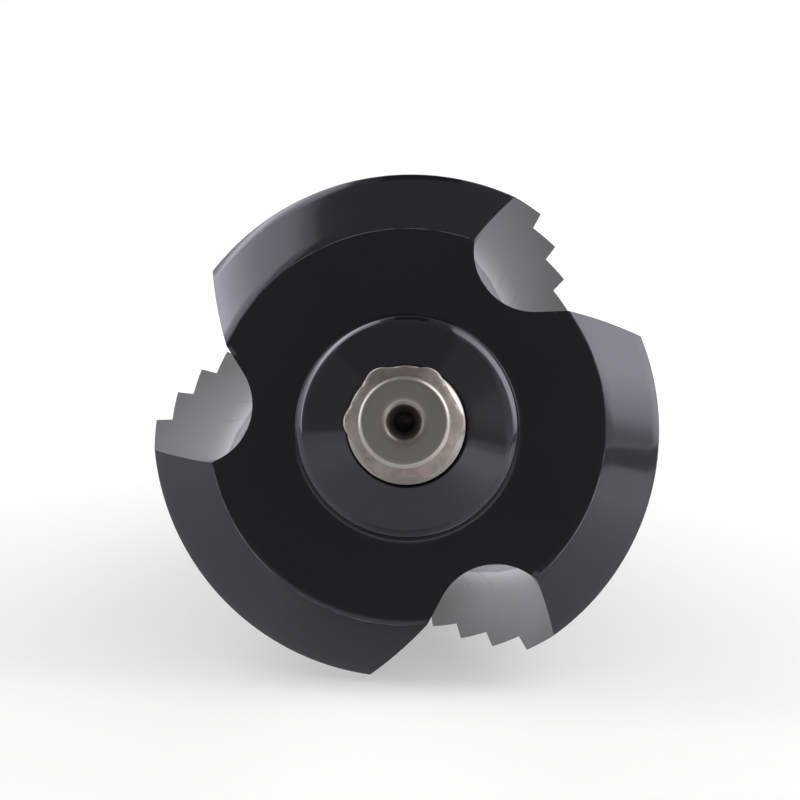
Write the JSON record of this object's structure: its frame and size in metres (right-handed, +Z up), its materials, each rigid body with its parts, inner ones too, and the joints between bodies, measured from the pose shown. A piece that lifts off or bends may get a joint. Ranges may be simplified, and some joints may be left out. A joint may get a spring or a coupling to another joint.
{
  "type": "step drill bit",
  "caption": "Step drill bit for sheet metal: dark coated conical cutter with rising steps and helical flutes, bevelled back, collar and bare steel hex quick-change shank.",
  "frame": {"origin": "middle of the object's box, at floor level, with the bit lying on its side as it comes to rest", "axes": "+Z up; the bit's length runs along Y with the hex shank towards -Y and the point towards +Y; the bit's own axis lies in the YZ plane and rises about 12 degrees towards the shank, because the widest step holds that end up"},
  "size_m": [0.032, 0.0944, 0.0315],
  "materials": {
    "coated_steel": "high speed steel under a thin, hard, near-black glossy coat, with fine turning and grinding marks showing through",
    "bare_steel": "bare turned and milled steel, satin, faint fine turning marks"
  },
  "bodies": {
    "root": {"cutter_body": "coated_steel", "hex_shank": "bare_steel"}
  },
  "joints": []
}
